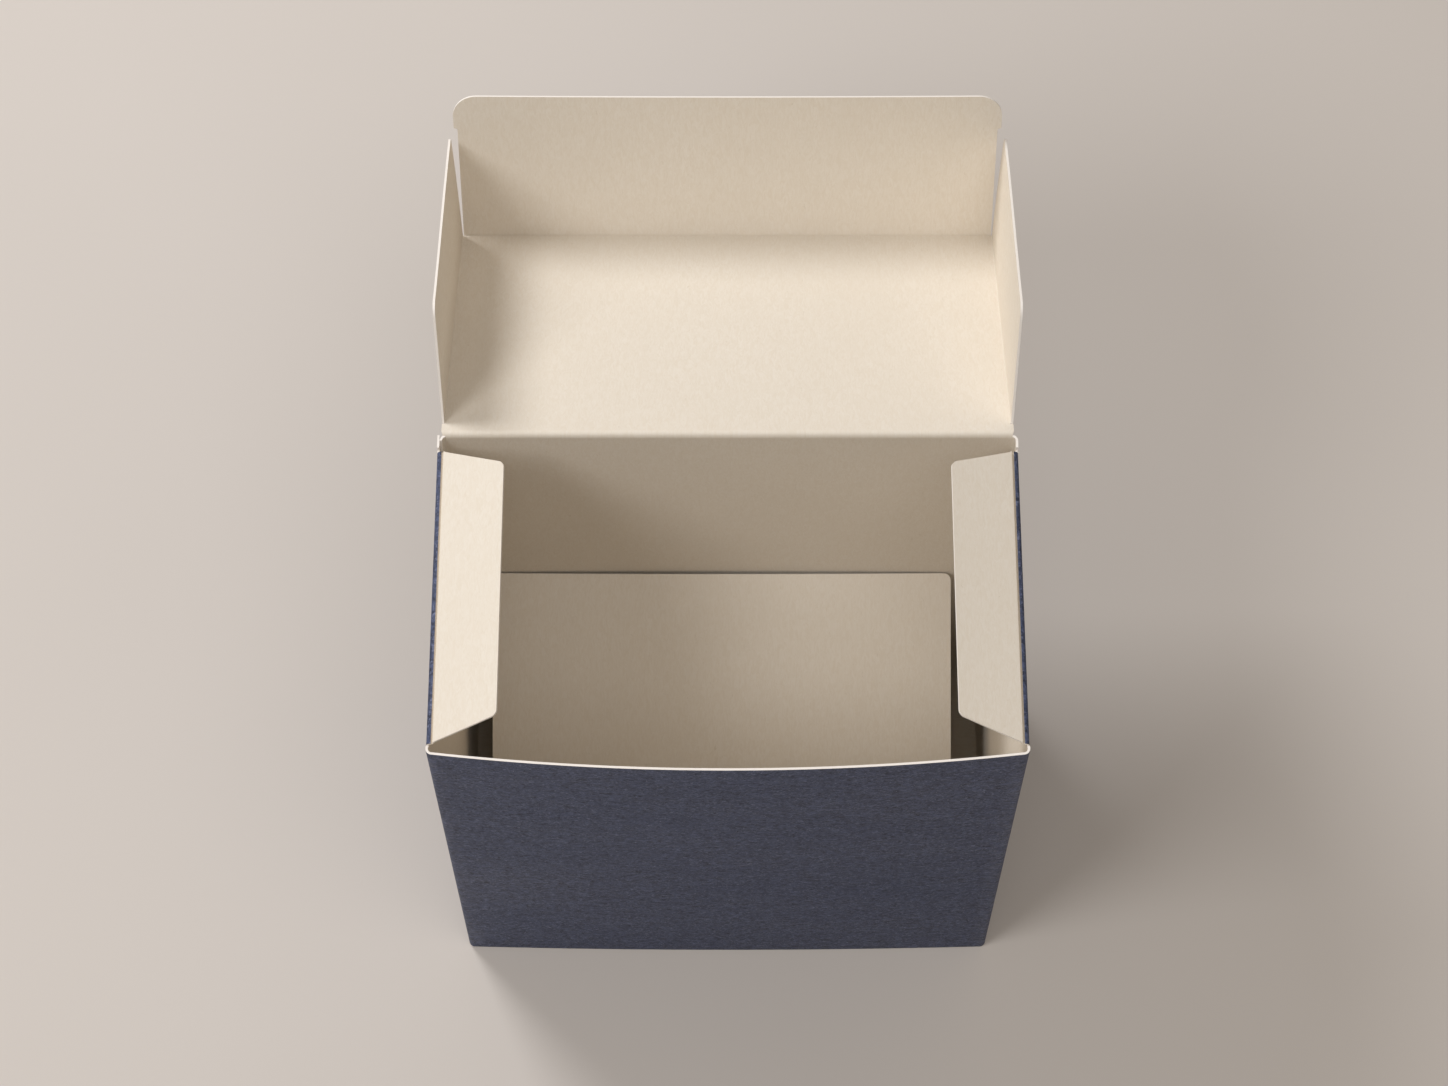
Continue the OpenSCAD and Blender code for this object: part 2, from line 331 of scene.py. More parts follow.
def sheet(name, rows, materials, keep=None, rim=None):
    """Closed piece of board from rows of points.

    A point is (printed face, inner face, place in the flat sheet, wear from 0 to 1). The materials are those
    of the printed face, the inner face and the cut edge. keep(r, c) says which cells of the grid are board,
    and rim(r, c) gives the material index of the border next to cell r, c.
    """
    bm = bmesh.new()
    flat = bm.verts.layers.float_vector.new("flat")
    wear = bm.verts.layers.float.new("wear")
    verts = {}

    def vert(r, c, face):
        if (r, c, face) not in verts:
            point = rows[r][c]
            made = bm.verts.new(point[face])
            made[flat] = Vector((point[2][0], point[2][1], face))
            made[wear] = point[3]
            verts[r, c, face] = made
        return verts[r, c, face]

    def cell(r, c):
        inside = 0 <= r < len(rows) - 1 and 0 <= c < len(rows[0]) - 1
        return inside and (keep is None or keep(r, c))

    def face(corners, index):
        made = bm.faces.new(corners)
        made.material_index = index
        made.smooth = True

    for r in range(len(rows) - 1):
        for c in range(len(rows[0]) - 1):
            if not cell(r, c):
                continue
            ring = [(r, c), (r, c + 1), (r + 1, c + 1), (r + 1, c)]
            face([vert(*p, 0) for p in ring], 0)
            face([vert(*p, 1) for p in reversed(ring)], 1)
            beside = [(r - 1, c), (r, c + 1), (r + 1, c), (r, c - 1)]
            for k, neighbour in enumerate(beside):
                if not cell(*neighbour):
                    a, b = ring[k], ring[(k + 1) % 4]
                    index = rim(r, c) if rim else 2
                    face([vert(*b, 0), vert(*a, 0), vert(*a, 1), vert(*b, 1)], index)
    bmesh.ops.remove_doubles(bm, verts=bm.verts[:], dist=WELD)
    bmesh.ops.recalc_face_normals(bm, faces=bm.faces[:])
    for edge in bm.edges:
        if len(edge.link_faces) == 2:
            a, b = edge.link_faces
            turned = a.normal.angle(b.normal, 0) > SHARP
            edge.smooth = a.material_index == b.material_index and not turned
    mesh = bpy.data.meshes.new(name)
    bm.to_mesh(mesh)
    bm.free()
    for material in materials:
        mesh.materials.append(material)
    made = bpy.data.objects.new(name, mesh)
    bpy.context.scene.collection.objects.link(made)
    return made


def settle(piece, body, slot, *nodes):
    """Lets a piece move with its body and stand for its CAD nodes."""
    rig.ride(piece, body)
    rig.slot(piece, slot)
    if nodes:
        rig.replaces(piece, *nodes)


# Materials


class Shader:
    """Short calls for building one material's nodes."""

    def __init__(self, name):
        self.material = bpy.data.materials.new(name)
        self.material.use_nodes = True
        self.nodes = self.material.node_tree.nodes
        self.links = self.material.node_tree.links
        self.surface = self.nodes["Principled BSDF"]

    def put(self, kind, inputs=None, **settings):
        """A new node, with its settings, and its inputs given as values or as other nodes' outputs."""
        made = self.nodes.new(kind)
        for key, value in settings.items():
            setattr(made, key, value)
        for key, value in (inputs or {}).items():
            self.feed(made.inputs[key], value)
        return made

    def feed(self, socket, value):
        """Links an output to a socket, or sets the socket to a plain value."""
        if isinstance(value, bpy.types.NodeSocket):
            self.links.new(value, socket)
        else:
            socket.default_value = value

    def attribute(self, name, output):
        return self.put("ShaderNodeAttribute", attribute_name=name).outputs[output]

    def noise(self, vector, scale, detail=4.0, roughness=0.55, distortion=0.0):
        """Noise with its own number of cycles a metre along each axis."""
        scaled = self.put("ShaderNodeMapping", {"Vector": vector, "Scale": scale}).outputs["Vector"]
        inputs = {"Vector": scaled, "Scale": 1.0, "Detail": detail, "Roughness": roughness,
                  "Distortion": distortion}
        return self.put("ShaderNodeTexNoise", inputs).outputs["Fac"]

    def remap(self, value, low, high, to_low=0.0, to_high=1.0):
        inputs = {"Value": value, "From Min": low, "From Max": high, "To Min": to_low, "To Max": to_high}
        return self.put("ShaderNodeMapRange", inputs).outputs["Result"]

    def math(self, operation, a, b):
        return self.put("ShaderNodeMath", {0: a, 1: b}, operation=operation).outputs[0]

    def mix(self, fac, a, b):
        """Colour a where fac is 0, and colour b where it is 1."""
        made = self.put("ShaderNodeMix", data_type="RGBA")
        self.feed(made.inputs[0], fac)
        self.feed(made.inputs[6], a)
        self.feed(made.inputs[7], b)
        return made.outputs[2]

    def finish(self, color, roughness, height, distance, strength):
        """Puts the colour, roughness and bump on the surface and gives the material."""
        bump = self.put("ShaderNodeBump", {"Strength": strength, "Distance": distance, "Height": height})
        self.feed(self.surface.inputs["Base Color"], color)
        self.feed(self.surface.inputs["Roughness"], roughness)
        self.feed(self.surface.inputs["Normal"], bump.outputs["Normal"])
        return self.material


def linear(red, green, blue):
    """A colour given as it looks, from 0 to 255, as the renderer's linear values."""
    def one(value):
        value /= 255
        return value / 12.92 if value <= 0.04045 else ((value + 0.055) / 1.055) ** 2.4
    return (one(red), one(green), one(blue), 1.0)


def navy_print():
    """Matt navy coating over a fibrous board: wavy fibres across the sheet, soft clouds, rubbed folds."""
    s = Shader("navy_print")
    flat = s.attribute("flat", "Vector")
    fibre = s.noise(flat, (420, 900, 0), detail=3, roughness=0.62, distortion=1.8)
    strand = s.noise(flat, (620, 1500, 3), detail=2, roughness=0.55, distortion=2.6)
    tooth = s.noise(flat, (3200, 5600, 0), detail=3)
    cloud = s.noise(flat, (11, 26, 0), detail=5, roughness=0.62)
    rub = s.noise(flat, (260, 900, 0), detail=8, roughness=0.72, distortion=0.4)
    color = s.mix(s.remap(fibre, 0.38, 0.62), linear(26, 33, 54), linear(76, 86, 118))
    color = s.mix(s.remap(cloud, 0.38, 0.68, 0.0, 0.25), color, linear(64, 73, 99))
    color = s.mix(s.remap(strand, 0.55, 0.66, 0.0, 0.75), color, linear(122, 129, 156))
    color = s.mix(s.remap(tooth, 0.64, 0.76, 0.0, 0.3), color, linear(128, 134, 156))
    edge = s.math("MULTIPLY", s.attribute("wear", "Fac"), s.remap(rub, 0.46, 0.7, 0.0, 0.55))
    color = s.mix(edge, color, linear(132, 134, 148))
    height = s.math("ADD", s.math("MULTIPLY", fibre, 0.6), s.math("MULTIPLY", strand, 0.4))
    return s.finish(color, s.remap(cloud, 0.3, 0.7, 0.6, 0.74), height, 0.16 * MM, 0.8)


def cream_board():
    """Bare cream board: faint fibres, a few darker flecks and a soft tooth."""
    s = Shader("cream_board")
    flat = s.attribute("flat", "Vector")
    fibre = s.noise(flat, (1100, 340, 0), detail=5, roughness=0.6, distortion=1.4)
    tooth = s.noise(flat, (3200, 2200, 0), detail=3)
    cloud = s.noise(flat, (24, 14, 0), detail=5, roughness=0.6)
    fleck = s.noise(flat, (1300, 400, 7), detail=2, distortion=1.8)
    color = s.mix(s.remap(fibre, 0.36, 0.64), linear(227, 217, 202), linear(233, 225, 213))
    color = s.mix(s.remap(cloud, 0.35, 0.7, 0.0, 0.35), color, linear(225, 215, 200))
    color = s.mix(s.remap(fleck, 0.68, 0.78, 0.0, 0.35), color, linear(198, 185, 164))
    height = s.math("ADD", s.math("MULTIPLY", fibre, 0.5), s.math("MULTIPLY", tooth, 0.5))
    return s.finish(color, s.remap(tooth, 0.3, 0.7, 0.8, 0.92), height, 0.05 * MM, 0.5)


def cut_edge():
    """Cut edge of the board: pale fibres in layers between its two faces."""
    s = Shader("cut_edge")
    flat = s.attribute("flat", "Vector")
    along = s.noise(flat, (900, 900, 5), detail=5, roughness=0.65)
    layers = s.noise(flat, (160, 160, 9), detail=3)
    color = s.mix(s.remap(along, 0.35, 0.7), linear(242, 235, 228), linear(251, 247, 242))
    color = s.mix(s.remap(layers, 0.45, 0.75, 0.0, 0.35), color, linear(230, 220, 209))
    return s.finish(color, 0.88, along, 0.05 * MM, 0.5)


NAVY = navy_print()
CREAM = cream_board()
CUT = cut_edge()
PRINTED = [NAVY, CREAM, CUT]
BARE = [CREAM, CREAM, CUT]


# Walls of the carton, one sheet round four sides with its glued tab


def bow(z):
    """How far the front wall bows out at height z."""
    return BOW_BASE + (BOW_RIM - BOW_BASE) * z / HEIGHT


def front_y(x, z):
    """Depth of the front wall's printed face."""
    return -HALF_D - bow(z) * (1 - (x / (HALF_W - FOLD_R)) ** 2)


def fold_columns(cx, cy, start, steps=8):
    """Columns round an upright fold, as (kind, place at an inset from the printed face)."""
    def column(angle):
        side = Vector((math.cos(angle), math.sin(angle), 0))
        return "fold", lambda off, z: Vector((cx, cy, z)) + side * (FOLD_R - off)
    return [column(start + math.pi / 2 * i / steps) for i in range(1, steps)]


def side_column(side, y):
    """Column of a side wall at depth y, on the left for side -1."""
    kind = "roll" if SHOULDER_FRONT <= y <= SHOULDER_BACK else "stand"
    return kind, lambda off, z: Vector((side * (HALF_W - off), y, z))


SIDE_YS = ([HALF_D - FOLD_R, BACK_STAND_Y, SHOULDER_BACK] + spread(SHOULDER_BACK, SHOULDER_FRONT, 8)[1:-1]
           + [SHOULDER_FRONT, FRONT_STAND_Y, -HALF_D + FOLD_R])
BACK_LEFT_X = -HALF_W + FOLD_R + BOARD + GLUE


def wall_columns():
    """Columns from the left wall's cut edge, round the front, right and back walls to the seam's tab."""
    left = [side_column(-1, y) for y in [HALF_D - CUT_SETBACK] + SIDE_YS]
    front_xs = spread(-HALF_W + FOLD_R, HALF_W - FOLD_R, 36)
    front = [("front", lambda off, z, x=x: Vector((x, front_y(x, z) + off, z))) for x in front_xs]
    right = [side_column(1, y) for y in reversed(SIDE_YS)]
    back_xs = spread(HALF_W - FOLD_R, BACK_LEFT_X, 24)
    back = [("back", lambda off, z, x=x: Vector((x, HALF_D - off, z))) for x in back_xs]
    tab_start = HALF_D - FOLD_R
    tab_ys = [tab_start, tab_start - SEAM_ROOT, tab_start - SEAM_W / 2, tab_start - SEAM_W]
    tab = [("tab", lambda off, z, y=y: Vector((-INNER_HALF_W + GLUE + off, y, z))) for y in tab_ys]
    return (left + fold_columns(-HALF_W + FOLD_R, -HALF_D + FOLD_R, math.pi) + front
            + fold_columns(HALF_W - FOLD_R, -HALF_D + FOLD_R, 1.5 * math.pi) + right
            + fold_columns(HALF_W - FOLD_R, HALF_D - FOLD_R, 0) + back
            + fold_columns(BACK_LEFT_X, HALF_D - FOLD_R, math.pi / 2) + tab)


# Heights of the walls' rows: the rolled foot, a row above its rubbed band, the seam's tab, a row below the
# rim's rubbed band and the shoulders' base. UPPER_STEPS more follow, round the shoulders or up to the rim.
FOOT_STEPS = 4
UPPER_STEPS = 6
FOOT_RUB_Z = 2 * MM
RIM_RUB_Z = 156 * MM
TAB_LOW = [SEAM_END, SEAM_END + SEAM_SLANT]
TAB_HIGH = [SHOULDER_BASE - SEAM_END - SEAM_SLANT, SHOULDER_BASE - SEAM_END]
FOOT_ZS = [FOOT_R * (1 - math.cos(math.pi / 2 * i / FOOT_STEPS)) for i in range(FOOT_STEPS + 1)]
TAB_ZS = TAB_LOW + spread(TAB_LOW[1], TAB_HIGH[0], 10)[1:-1] + TAB_HIGH
LOWER_ZS = FOOT_ZS + [FOOT_RUB_Z] + TAB_ZS + [RIM_RUB_Z, SHOULDER_BASE]
SHOULDER_ROW = len(LOWER_ZS) - 1

# Where the back wall and the lid pass into the crease between them
LID_DROP = math.atan2(-LID_ALONG.z, LID_ALONG.y)
WALL_MID_Y = HALF_D - HALF
CORNER_Z = HINGE.z + (HINGE.y - WALL_MID_Y) * math.tan(LID_DROP)
CREASE_TANGENT = HINGE_BEND * math.tan((math.pi / 2 + LID_DROP) / 2)
BACK_TOP = CORNER_Z - CREASE_TANGENT
LID_START = CREASE_TANGENT - (HINGE.y - WALL_MID_Y) / math.cos(LID_DROP)


def foot_inset(z):
    """How far the rolled foot has pulled a wall's printed face in at height z."""
    return FOOT_R - math.sqrt(FOOT_R**2 - (FOOT_R - z) ** 2) if z < FOOT_R else 0.0


def wall_point(kind, at, row):
    """Printed and inner point of a column at a row of the walls' grid."""
    if row <= SHOULDER_ROW:
        z = LOWER_ZS[row]
        return at(foot_inset(z), z), at(BOARD, z)
    share = (row - SHOULDER_ROW) / UPPER_STEPS
    if kind == "roll":
        angle = math.pi / 2 * share

        def rolled(off):
            radius = SHOULDER_R - off
            return at(SHOULDER_R - radius * math.cos(angle), SHOULDER_BASE + radius * math.sin(angle))

        return rolled(0), rolled(BOARD)
    top = BACK_TOP if kind == "back" else HEIGHT
    z = SHOULDER_BASE + (top - SHOULDER_BASE) * share
    return at(0, z), at(BOARD, z)


def carton_walls():
    """The walls' one sheet. Its seam tab has slanted ends, and its side walls are slit beside their rolls."""
    columns = wall_columns()
    kinds = [kind for kind, _ in columns]
    run = [0.0]
    for (_, a), (_, b) in zip(columns, columns[1:]):
        run.append(run[-1] + (b(HALF, HEIGHT) - a(HALF, HEIGHT)).length)
    fold_runs = [u for u, kind in zip(run, kinds) if kind == "fold"]
    tab_from = kinds.index("tab")
    # How far along its slanted ends each of the tab's free columns lies
    tab_slants = {tab_from + 1: 0.0, tab_from + 2: 0.5, tab_from + 3: 1.0}
    rows = []
    for row in range(SHOULDER_ROW + UPPER_STEPS + 1):
        line = []
        for c, (kind, at) in enumerate(columns):
            outer, inner = wall_point(kind, at, row)
            if c in tab_slants:
                low = SEAM_END + SEAM_SLANT * tab_slants[c]
                high = SHOULDER_BASE - SEAM_END - SEAM_SLANT * tab_slants[c]
                outer.z = inner.z = min(high, max(low, outer.z))
            z = outer.z
            fold = max(near(run[c] - u, RUB_REACH) for u in fold_runs)
            rim = 0.0 if kind == "roll" else RIM_RUB * near(z - HEIGHT, RIM_RUB_REACH)
            wear = max(FOLD_RUB * fold, near(z, FOOT_RUB_REACH), rim)
            line.append((outer, inner, (run[c], z), wear))
        rows.append(line)

    low_row = LOWER_ZS.index(TAB_LOW[0])
    high_row = LOWER_ZS.index(TAB_HIGH[1])

    def keep(r, c):
        if c > tab_from:
            return low_row <= r < high_row
        slit = (kinds[c] == "roll") != (kinds[c + 1] == "roll")
        return r < SHOULDER_ROW or not slit

    def rim(r, c):
        """Printed where the foot is a fold, and cut elsewhere."""
        return 0 if r == 0 and kinds[c] not in ("back", "tab") else 2

    settle(sheet("carton_walls", rows, PRINTED, keep, rim), "carton", "board_navy", "body")


# Bottom closure: the panel from the back wall, and the side walls' tabs glued on it


def carton_bottom():
    """Bottom panel, folded in from the back wall and glued under the side tabs."""
    limit = HALF_W - FOLD_R
    xs = spread(-INNER_HALF_W + BOTTOM_SIDE_GAP, INNER_HALF_W - BOTTOM_SIDE_GAP, 28)
    back_y = HALF_D - BOARD - GLUE
    rows = []
    for share in spread(0.0, 1.0, 10):
        line = []
        for x in xs:
            front = front_y(max(-limit, min(limit, x)), 0) + BOARD - BOTTOM_LAP
            y = front + (back_y - front) * share
            line.append((Vector((x, y, FACE_GAP)), Vector((x, y, BOARD)), (x + 0.5, y + 0.2), 0.0))
        rows.append(line)
    settle(sheet("carton_bottom", rows, PRINTED), "carton", "board_navy")


def base_tab(side, name):
    """Glue tab that the side wall turns in onto the bottom panel."""
    top, under = 2 * BOARD + GLUE, BOARD + GLUE
    wall = INNER_HALF_W - FACE_GAP
    profile = [(wall - inset, z) for inset, z in BASE_TAB_FOLD]
    profile += [(wall - inset, top) for inset in (BASE_TAB_FOLD_END, BASE_TAB_W / 2, BASE_TAB_W)]
    rows = []
    for x, z in profile:
        # The ends slant in by a third of the tab's width
        pull = BASE_TAB_END + BASE_TAB_W / 3 * (wall - x) / BASE_TAB_W
        line = []
        for share in spread(-1.0, 1.0, 16):
            y = share * (HALF_D - pull)
            line.append((Vector((side * x, y, under)), Vector((side * x, y, z)), (y, x + 0.9), 0.0))
        rows.append(line)
    settle(sheet(name, rows, PRINTED), "carton", "board_navy")


# Flat panels that turn on a crease


class Panel:
    """Frame of a panel: its crease's place, the way along it, the way out from it, and its inner normal."""

    def __init__(self, origin, along, out, normal):
        self.origin, self.along, self.out, self.normal = origin, along, out, normal

    def point(self, a, d, off=0.0):
        """Point at a along the crease, d out from it and off towards the inner side."""
        return self.origin + self.along * a + self.out * d + self.normal * off

    def both(self, a, d, curl=0.0):
        """Printed and inner point at a along the crease and d out from it."""
        return self.point(a, d, curl - HALF), self.point(a, d, curl + HALF)


LID = Panel(HINGE, ACROSS, LID_ALONG, LID_UP)
TUCK = Panel(TUCK_HINGE, ACROSS, LID_UP, -LID_ALONG)


def ear_panel(side):
    """Frame of an ear, on the left for side -1."""
    out = ACROSS * side * math.cos(EAR_FOLD) + LID_UP * math.sin(EAR_FOLD)
    normal = ACROSS * -side * math.sin(EAR_FOLD) + LID_UP * math.cos(EAR_FOLD)
    return Panel(HINGE + ACROSS * side * EAR_X, LID_ALONG, out, normal)


def dust_panel(side):
    """Frame of a dust flap, on the left for side -1."""
    out = Vector((-side * math.cos(DUST_RAISE), 0, math.sin(DUST_RAISE)))
    normal = Vector((side * math.sin(DUST_RAISE), 0, math.cos(DUST_RAISE)))
    return Panel(Vector((side * DUST_X, 0, DUST_Z)), Vector((0, 1, 0)), out, normal)


def inner_flap_panel():
    """Frame of the inner flap, from its foot up to where it leans on the back wall."""
    run = HALF_D - BOARD - INNER_FLAP_GAP - INNER_FLAP_FOOT.y
    out = Vector((0, run, INNER_FLAP_TOP - INNER_FLAP_FOOT.z)).normalized()
    return Panel(INNER_FLAP_FOOT - ACROSS * INNER_FLAP_LEFT, ACROSS, out, ACROSS.cross(out))


def panel_rows(panel, distances, bounds, columns, flat, curl=None, wear=None, turned=False):
    """Rows of a flat panel at the distances from its crease, with a number of columns.

    bounds(d) gives its two sides at distance d, curl(a, d) lifts it a little and wear(d) rubs it. flat is its
    place in the grain of the board. On a turned panel the grain runs along the crease.
    """
    rows = []
    for d in distances:
        low, high = bounds(d)
        line = []
        for a in spread(low, high, columns):
            lift = curl(a, d) if curl else 0.0
            outer, inner = panel.both(a, d, lift)
            rub = wear(d) if wear else 0.0
            place = (d + flat[0], a + flat[1]) if turned else (a + flat[0], d + flat[1])
            line.append((outer, inner, place, rub))
        rows.append(line)
    return rows


def lid_board():
    """The lid, with short full-width ends beside the hinge and a narrower panel between the ears."""
    panel_half_w = EAR_X - EAR_BEND
    near_end = EAR_START - FLAP_GAP
    far = LID_L - TUCK_BEND
    distances = spread(LID_START, near_end, 3) + spread(near_end, far, 22)[1:]
    half_xs = [panel_half_w, (panel_half_w + LID_HALF_W) / 2, LID_END_HALF_W]
    xs = [-x for x in reversed(half_xs)] + spread(-panel_half_w, panel_half_w, 36)[1:-1] + half_xs
    rows = []
    for d in distances:
        line = []
        for x in xs:
            outer, inner = LID.both(x, d)
            creases = d - far, abs(x) - EAR_X, d - LID_START
            rub = max(near(distance, RUB_REACH) for distance in creases)
            line.append((outer, inner, (x + 0.2, d + 0.3), rub))
        rows.append(line)

    def keep(r, c):
        return 2 <= c < len(xs) - 3 or distances[r + 1] <= near_end + SAME

    settle(sheet("lid_board", rows, PRINTED, keep), "lid", "board_navy", "lid_panel")


def tuck_board():
    """Tuck flap, with its shoulders above the ears and its round free corners."""
    step = [TUCK_STEP, TUCK_STEP + TUCK_STEP_RUN]
    straight = spread(step[1], TUCK_L - TUCK_R, 3)[1:-1]
    distances = spread(TUCK_BEND, step[0], 14) + [step[1]] + straight + corner_rows(TUCK_L, TUCK_R, 12)

    def bounds(d):
        half_w = TUCK_HALF_W if d <= step[0] + SAME else TUCK_SHOULDER_HALF_W
        half_w -= corner_inset(d, TUCK_L, TUCK_R)
        return -half_w, half_w

    def curl(a, d):
        return TUCK_CURL * (d / TUCK_L) ** 2 * (1 - (a / TUCK_HALF_W) ** 2)

    def wear(d):
        return max(near(d - TUCK_BEND, RUB_REACH), FREE_EDGE_RUB * near(d - TUCK_L, RUB_REACH))

    rows = panel_rows(TUCK, distances, bounds, columns=36, flat=(0.2, 0.42), curl=curl, wear=wear)
    settle(sheet("tuck_board", rows, PRINTED), "tuck", "board_navy", "tuck_flap")


def ear_board(side, name, body, node):
    """Ear, with its hinge end leaning away from the hinge and a corner of its own radius at each end."""
    distances = sorted(spread(EAR_BEND, EAR_D - EAR_R, 10)[:-1] + corner_rows(EAR_D, EAR_R, 9)
                       + corner_rows(EAR_D, EAR_TIP_R, 5)[:-1])
    lean = math.atan(EAR_LEAN / EAR_D)
    reach = EAR_R * (1 - math.sin(lean)) / math.cos(lean)

    def bounds(d):
        slanted = EAR_START + d * math.tan(lean)
        past = d - (EAR_D - EAR_R)
        if past > -EAR_R * math.sin(lean):
            round_low = EAR_START + EAR_LEAN + reach - math.sqrt(max(0.0, EAR_R**2 - past**2))
            slanted = max(slanted, round_low) if past > 0 else min(slanted, round_low)
        return slanted, EAR_END - corner_inset(d, EAR_D, EAR_TIP_R)

    def curl(a, d):
        return -EAR_CURL * (d / EAR_D) ** 2 * smooth((a - EAR_START) / (EAR_END - EAR_START))

    def wear(d):
        return near(d - EAR_BEND, RUB_REACH)

    flat = 0.1 - 0.2 * side, 0.6
    rows = panel_rows(ear_panel(side), distances, bounds, 20, flat, curl, wear, turned=True)
    settle(sheet(name, rows, PRINTED), body, "board_navy", node)


def dust_board(side, name, body, node):
    """Dust flap, with slanted ends and small round corners."""
    distances = spread(DUST_START, DUST_L - DUST_R, 8) + corner_rows(DUST_L, DUST_R, 6)[1:]
    ends = SHOULDER_FRONT + FLAP_GAP, SHOULDER_BACK - FLAP_GAP

    def bounds(d):
        pulled = DUST_TAPER * d / DUST_L + corner_inset(d, DUST_L, DUST_R)
        return ends[0] + pulled, ends[1] - pulled

    def curl(a, d):
        return DUST_CURL * (d / DUST_L) ** 2

    flat = 0.3, 0.8 + 0.1 * side
    rows = panel_rows(dust_panel(side), distances, bounds, 24, flat, curl, turned=True)
    settle(sheet(name, rows, BARE), body, "board_cream", node)


def inner_flap_board():
    """Sloping inner flap of the bottom. Its middle bows away from the back wall that it leans on."""
    panel = inner_flap_panel()
    length = (HALF_D - BOARD - INNER_FLAP_GAP - HALF * panel.out.z - INNER_FLAP_FOOT.y) / panel.out.y
    distances = spread(INNER_FLAP_START, length - INNER_FLAP_R, 22) + corner_rows(length, INNER_FLAP_R, 6)[1:]

    def bounds(d):
        slanted = INNER_FLAP_HALF_W + INNER_FLAP_TAPER * (1 - d / length)
        half_w = slanted - corner_inset(d, length, INNER_FLAP_R)
        return -half_w, half_w

    def curl(a, d):
        return INNER_FLAP_BOW * smooth(d / length) * (1 - (a / INNER_FLAP_HALF_W) ** 2)

    rows = panel_rows(panel, distances, bounds, columns=36, flat=(0.2, 1.2), curl=curl)
    settle(sheet("inner_flap_board", rows, BARE), "inner_flap", "board_cream", "inner_flap")


# Crease strips, which bend between two bodies


def crease(name, profile, ends, place, materials, bodies, slot, blend_from, blend_to, flat):
    """Strip along a crease, which bends from the first body to the second.

    profile is a row of (printed face, inner face) points across it, which place(a, ...) puts at a along the
    crease. ends are the strip's half lengths at the profile's first and last point.
    """
    rows = []
    run = 0.0
    for k, (outer, inner) in enumerate(profile):
        if k:
            run += (place(0, *outer) - place(0, *profile[k - 1][0])).length
        half = ends[0] + (ends[1] - ends[0]) * k / (len(profile) - 1)
        line = []
        for a in spread(-half, half, 40):
            line.append((place(a, *outer), place(a, *inner), (a + flat[0], run + flat[1]), 1.0))
        rows.append(line)
    made = sheet(name, rows, materials)
    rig.blend(made, *bodies, start=place(0, *blend_from), end=place(0, *blend_to))
    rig.slot(made, slot)


def bend(centre, radius, start, sweep, steps=8):
    """Points of both faces round a crease: the middle of the board lies at radius from centre."""
    made = []
    for angle in spread(start, start + sweep, steps):
        ray = Vector((math.cos(angle), math.sin(angle)))
        made.append((centre + ray * (radius - HALF), centre + ray * (radius + HALF)))
    return made


def lid_crease():
    """From the top of the back wall over to the lid: the cream face is on the outside of the bend."""
    centre = Vector((WALL_MID_Y + HINGE_BEND, BACK_TOP))
    profile = bend(centre, HINGE_BEND, math.pi, -(math.pi / 2 + LID_DROP), steps=10)
    ends = HALF_W - FOLD_R, LID_END_HALF_W
    crease("lid_crease", profile, ends, lambda a, y, z: Vector((a, y, z)), PRINTED, ("carton", "lid"),
           "board_navy", profile[0][0], profile[-1][0], (0.2, 0.1))


def tuck_crease():
    """From the lid to the tuck flap: the navy face is on the outside of the bend."""
    centre = Vector((LID_L - TUCK_BEND, TUCK_BEND))
    steps, bead_steps = 12, 3
    profile = []
    for k, (inner, outer) in enumerate(bend(centre, TUCK_BEND, -math.pi / 2, math.pi / 2, steps)):
        bulge = (centre - inner) * SCORE_BEAD * near(k - steps / 2, bead_steps)
        profile.append((outer, inner + bulge))
    ends = EAR_X - EAR_BEND, TUCK_HALF_W
    crease("tuck_crease", profile, ends, lambda a, y, z: LID.point(a, y, z), PRINTED, ("lid", "tuck"),
           "board_navy", profile[0][1], profile[-1][1], (0.2, 0.4))


def ear_crease(side, name, body):
    """From the lid to an ear."""
    centre = Vector((EAR_X - EAR_BEND, EAR_BEND))
    profile = [(outer, inner) for inner, outer in bend(centre, EAR_BEND, -math.pi / 2, EAR_FOLD)]
    middle = (EAR_START + EAR_END) / 2
    half = (EAR_END - EAR_START) / 2

    def place(a, x, z):
        return LID.point(side * x, middle + a, z)

    crease(name, profile, (half, half), place, PRINTED, ("lid", body), "board_navy",
           profile[0][1], profile[-1][1], (0.1, 0.7 + 0.1 * side))


def inner_flap_crease():
    """From the foot of the front wall to the inner flap."""
    panel = inner_flap_panel()
    under, top = panel.both(0, INNER_FLAP_START)
    heights = [INNER_FLAP_WALL_ZS, INNER_FLAP_MIDDLE_ZS, (under.z, top.z)]
    profile = [((share, under.y, low), (share, top.y, high))
               for share, (low, high) in zip(spread(0.0, 1.0, 2), heights)]
    half = INNER_FLAP_HALF_W + INNER_FLAP_TAPER

    def place(a, share, end, z):
        """Point at a share of the way from the bowed wall to the strip's end on the flap."""
        x = a - INNER_FLAP_LEFT
        wall = front_y(x, 0) + BOARD
        return Vector((x, wall + (end - wall) * share, z))

    crease("inner_flap_crease", profile, (half, half), place, BARE, ("carton", "inner_flap"), "board_cream",
           profile[0][1], profile[-1][1], (0.2, 1.1))


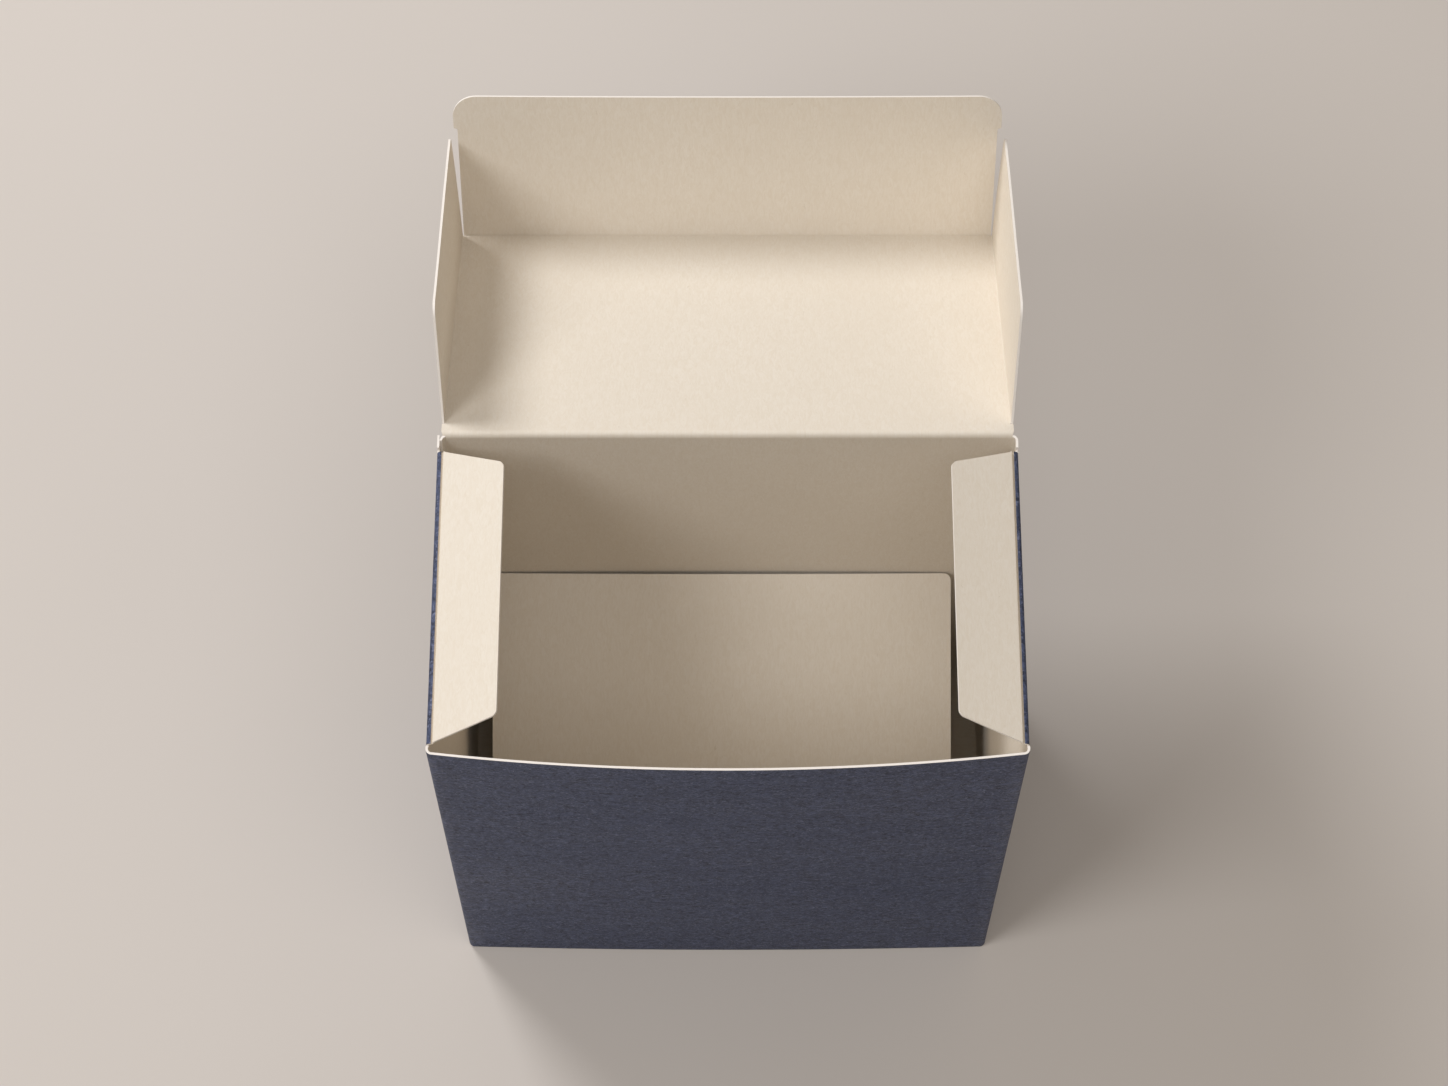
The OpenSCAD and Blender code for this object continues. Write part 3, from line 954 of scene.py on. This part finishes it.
def dust_crease(side, name, body):
    """From the rolled shoulder, down into the groove and up to the dust flap."""
    faces = dust_panel(1).both(0, DUST_START)
    shoulder = (SHOULDER_END_X, SHOULDER_TOP - BOARD), (SHOULDER_END_X, SHOULDER_TOP)
    floor_ends = [[(SHOULDER_END_X - inset, SHOULDER_TOP - drop) for inset, drop in zip(insets, GROOVE_DROPS)]
                  for insets in (GROOVE_STARTS, GROOVE_ENDS)]
    lip = [(face.x + GROOVE_LIP, face.z - GROOVE_LIP_DROP) for face in faces]
    flap = [(face.x, face.z) for face in faces]
    profile = [shoulder, *floor_ends, lip, flap]
    middle = (SHOULDER_FRONT + SHOULDER_BACK) / 2
    half = (SHOULDER_BACK - SHOULDER_FRONT) / 2

    def place(a, x, z):
        return Vector((side * x, middle + a, z))

    crease(name, profile, (half, half - FLAP_GAP), place, BARE, ("carton", body), "board_cream",
           profile[0][1], profile[-1][1], (0.3, 0.9 + 0.1 * side))


# Floor, light and camera

FLOOR_REACH = 4.0
LAMP_DISTANCE = 1.4
LAMP_COLOR = (0.985, 0.99, 1.0)
WORLD_COLOR = (1.0, 0.88, 0.74, 1)
WORLD_STRENGTH = 0.28

# Camera at the photo's viewing angle: sensor and lens in millimetres, and degrees below level
CAMERA_SENSOR = 36
CAMERA_LENS = 83.81
CAMERA_PLACE = (-0.95 * MM, -336.3 * MM, 944.1 * MM)
CAMERA_PITCH = 65.964


def floor():
    """Plain pale floor with a soft paint finish."""
    s = Shader("floor_paint")
    place = s.put("ShaderNodeTexCoord").outputs["Object"]
    cloud = s.noise(place, (2.2, 2.2, 2.2), detail=3)
    grain = s.noise(place, (1400, 1400, 1400), detail=3)
    color = s.mix(s.remap(cloud, 0.35, 0.65), linear(213, 206, 200), linear(209, 202, 196))
    material = s.finish(color, 0.9, grain, 0.05 * MM, 0.2)
    mesh = bpy.data.meshes.new("floor")
    corners = [(x * FLOOR_REACH, y * FLOOR_REACH, 0) for x, y in ((-1, -1), (1, -1), (1, 1), (-1, 1))]
    mesh.from_pydata(corners, [], [(0, 1, 2, 3)])
    mesh.materials.append(material)
    made = bpy.data.objects.new("floor", mesh)
    bpy.context.scene.collection.objects.link(made)
    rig.stage(made)


def area_light(name, direction, size, power):
    """Round lamp that faces the middle of the carton from a direction."""
    lamp = bpy.data.lights.new(name, "AREA")
    lamp.shape = "DISK"
    lamp.size = size
    lamp.energy = power
    lamp.color = LAMP_COLOR
    made = bpy.data.objects.new(name, lamp)
    toward = Vector(direction).normalized()
    made.location = Vector((0, 0, HEIGHT / 2)) + toward * LAMP_DISTANCE
    made.rotation_euler = toward.to_track_quat("Z", "Y").to_euler()
    bpy.context.scene.collection.objects.link(made)


def world():
    """Even warm light from all round."""
    made = bpy.data.worlds.new("studio")
    made.use_nodes = True
    background = made.node_tree.nodes["Background"]
    background.inputs["Color"].default_value = WORLD_COLOR
    background.inputs["Strength"].default_value = WORLD_STRENGTH
    bpy.context.scene.world = made


def camera():
    """Camera that looks down on the carton from the front."""
    lens = bpy.data.cameras.new("camera")
    lens.sensor_width = CAMERA_SENSOR
    lens.lens = CAMERA_LENS
    lens.dof.use_dof = False
    made = bpy.data.objects.new("camera", lens)
    made.location = CAMERA_PLACE
    made.rotation_euler = (math.radians(90 - CAMERA_PITCH), 0, 0)
    bpy.context.scene.collection.objects.link(made)
    bpy.context.scene.camera = made


carton_walls()
carton_bottom()
inner_flap_board()
inner_flap_crease()
lid_board()
lid_crease()
tuck_board()
tuck_crease()
for side, hand in ((-1, "left"), (1, "right")):
    base_tab(side, f"base_tab_{hand}")
    ear_board(side, f"ear_board_{hand}", f"{hand}_ear", f"ear_{hand}")
    ear_crease(side, f"ear_crease_{hand}", f"{hand}_ear")
    dust_board(side, f"dust_board_{hand}", f"{hand}_dust_flap", f"dust_flap_{hand}")
    dust_crease(side, f"dust_crease_{hand}", f"{hand}_dust_flap")

floor()
area_light("key", (-0.48, 0.58, 0.66), size=0.5, power=9.5)
area_light("side", (-0.52, -0.30, 0.80), size=0.55, power=5.7)
area_light("front", (0.15, -0.30, 0.94), size=0.8, power=3.2)
world()
camera()
bpy.context.scene.view_settings.view_transform = "Standard"

low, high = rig.bounds()
with open("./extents.json", "w") as file:
    json.dump({"cad": [list(cad_low), list(cad_high)], "visual": [list(low), list(high)]}, file)
